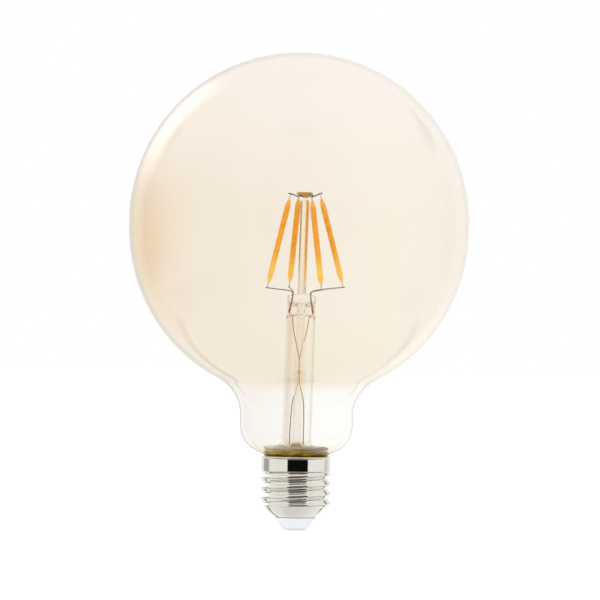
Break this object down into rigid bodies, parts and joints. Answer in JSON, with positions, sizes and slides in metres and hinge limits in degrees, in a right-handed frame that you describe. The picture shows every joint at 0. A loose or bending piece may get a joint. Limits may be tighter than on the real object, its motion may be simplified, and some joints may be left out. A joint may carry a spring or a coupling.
{
  "type": "smart light bulb",
  "caption": "Globe-shaped smart LED filament lamp in pale amber glass, with a caged stem inside and an E27 screw cap.",
  "frame": {"origin": "centre of the flat outer face of the centre contact", "axes": "+Z along the lamp's axis from the contact to the crown of the globe; the front is -Y, and +X is the lamp's right seen from the front"},
  "size_m": [0.125, 0.125, 0.1755],
  "materials": {
    "amber_glass": "thin blown glass, clear at the neck and tinted pale amber over the globe",
    "stem_glass": "clear drawn and pressed glass",
    "phosphor": "translucent yellow-orange phosphor silicone",
    "chip_strip": "white ceramic that carries the chips",
    "terminal_plate": "nickel-plated strip",
    "nickel_wire": "drawn nickel wire, slightly dull",
    "dumet": "reddish copper-clad sealing wire",
    "copper_wire": "bare or enamelled copper",
    "nickel_plate": "bright nickel plating",
    "contact_plate": "tinned metal",
    "white_insulator": "smooth opaque white",
    "amber_cement": "glossy olive-gold adhesive",
    "liner_plastic": "plain moulded liner",
    "circuit_board": "solder-masked laminate",
    "black_plastic": "moulded epoxy or wire insulation",
    "red_insulation": "wire insulation",
    "capacitor_sleeve": "shrink sleeve",
    "ferrite": "pressed ferrite",
    "resistor_coat": "flameproof coating"
  },
  "bodies": {
    "root": {"globe": "amber_glass", "stem_flare": "stem_glass", "stem_pinch": "stem_glass", "exhaust_tube": "stem_glass", "support_rod": "stem_glass", "rod_button": "stem_glass", "top_wire_across": "nickel_wire", "top_wire_through": "nickel_wire", "lower_arm_left": "nickel_wire", "lower_arm_right": "nickel_wire", "inner_lead_left": "nickel_wire", "inner_lead_right": "nickel_wire", "dumet_seal_left": "dumet", "dumet_seal_right": "dumet", "outer_lead_left": "copper_wire", "outer_lead_right": "copper_wire", "filament_1_coat": "phosphor", "filament_1_strip": "chip_strip", "filament_1_top_terminal": "terminal_plate", "filament_1_bottom_terminal": "terminal_plate", "filament_2_coat": "phosphor", "filament_2_strip": "chip_strip", "filament_2_top_terminal": "terminal_plate", "filament_2_bottom_terminal": "terminal_plate", "filament_3_coat": "phosphor", "filament_3_strip": "chip_strip", "filament_3_top_terminal": "terminal_plate", "filament_3_bottom_terminal": "terminal_plate", "filament_4_coat": "phosphor", "filament_4_strip": "chip_strip", "filament_4_top_terminal": "terminal_plate", "filament_4_bottom_terminal": "terminal_plate", "screw_shell": "nickel_plate", "cap_insulator": "white_insulator", "centre_contact": "contact_plate", "basing_cement": "amber_cement", "closing_cement": "amber_cement", "lead_sleeving_left": "white_insulator", "lead_sleeving_right": "white_insulator", "driver_sleeve": "liner_plastic", "driver_board": "circuit_board", "bridge_rectifier": "black_plastic", "smoothing_capacitor": "capacitor_sleeve", "choke_core": "ferrite", "choke_winding": "copper_wire", "fusible_resistor": "resistor_coat", "driver_chip": "black_plastic", "radio_board": "circuit_board", "radio_shield": "contact_plate", "radio_antenna": "chip_strip", "live_wire": "red_insulation", "neutral_wire": "black_plastic"}
  },
  "joints": []
}
